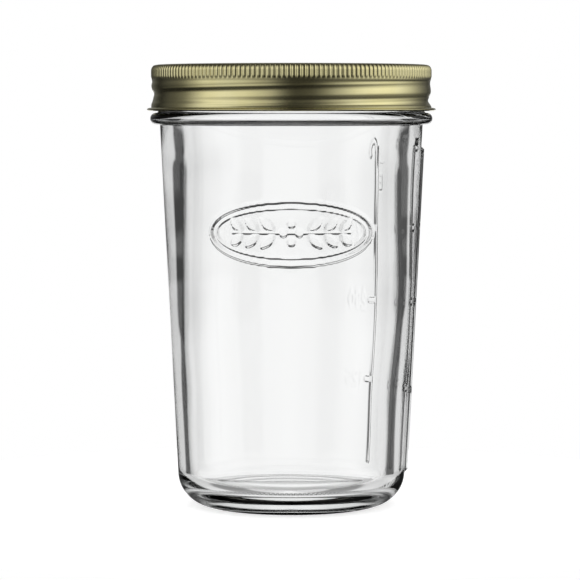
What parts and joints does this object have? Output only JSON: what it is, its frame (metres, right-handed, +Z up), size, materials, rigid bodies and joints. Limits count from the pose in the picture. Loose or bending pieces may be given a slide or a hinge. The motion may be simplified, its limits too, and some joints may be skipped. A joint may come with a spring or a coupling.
{
  "type": "wide-mouth jar",
  "caption": "Tapered clear glass preserving jar with a raised fill scale, a stamped sealing disc with seal ring, and a knurled gold screw band.",
  "frame": {"origin": "centre of the flat ring that the jar stands on, at table height, on the jar's axis", "axes": "+Z up along the jar's axis; -Y towards the picture's viewer; +X to the viewer's right"},
  "size_m": [0.0984, 0.0984, 0.1505],
  "materials": {
    "glass": "clear pressed soda-lime glass, slightly wavy inside",
    "band_lacquer": "tinplate under glossy gold lacquer, rolled thread, fine knurl",
    "disc_lacquer": "tinplate under satin gold lacquer",
    "seal_rubber": "matt cream seal compound"
  },
  "bodies": {
    "jar": {"glass_jar": "glass"},
    "lid": {"sealing_disc": "disc_lacquer", "seal_gasket": "seal_rubber"},
    "band": {"screw_band": "band_lacquer"}
  },
  "joints": [
    {"name": "lid_lift", "type": "slide", "parent": "jar", "child": "lid", "axis": [0, 0, 1], "range_m": [0, 0.0166]},
    {"name": "band_turn", "type": "hinge", "parent": "lid", "child": "band", "pos_m": [0, 0, 0.1348], "axis": [0, 0, 1], "range_deg": [0, 1080]}
  ],
  "couplings": [
    {"joint": "lid_lift", "follows": "band_turn", "m_per_rad": 0.00087535}
  ]
}
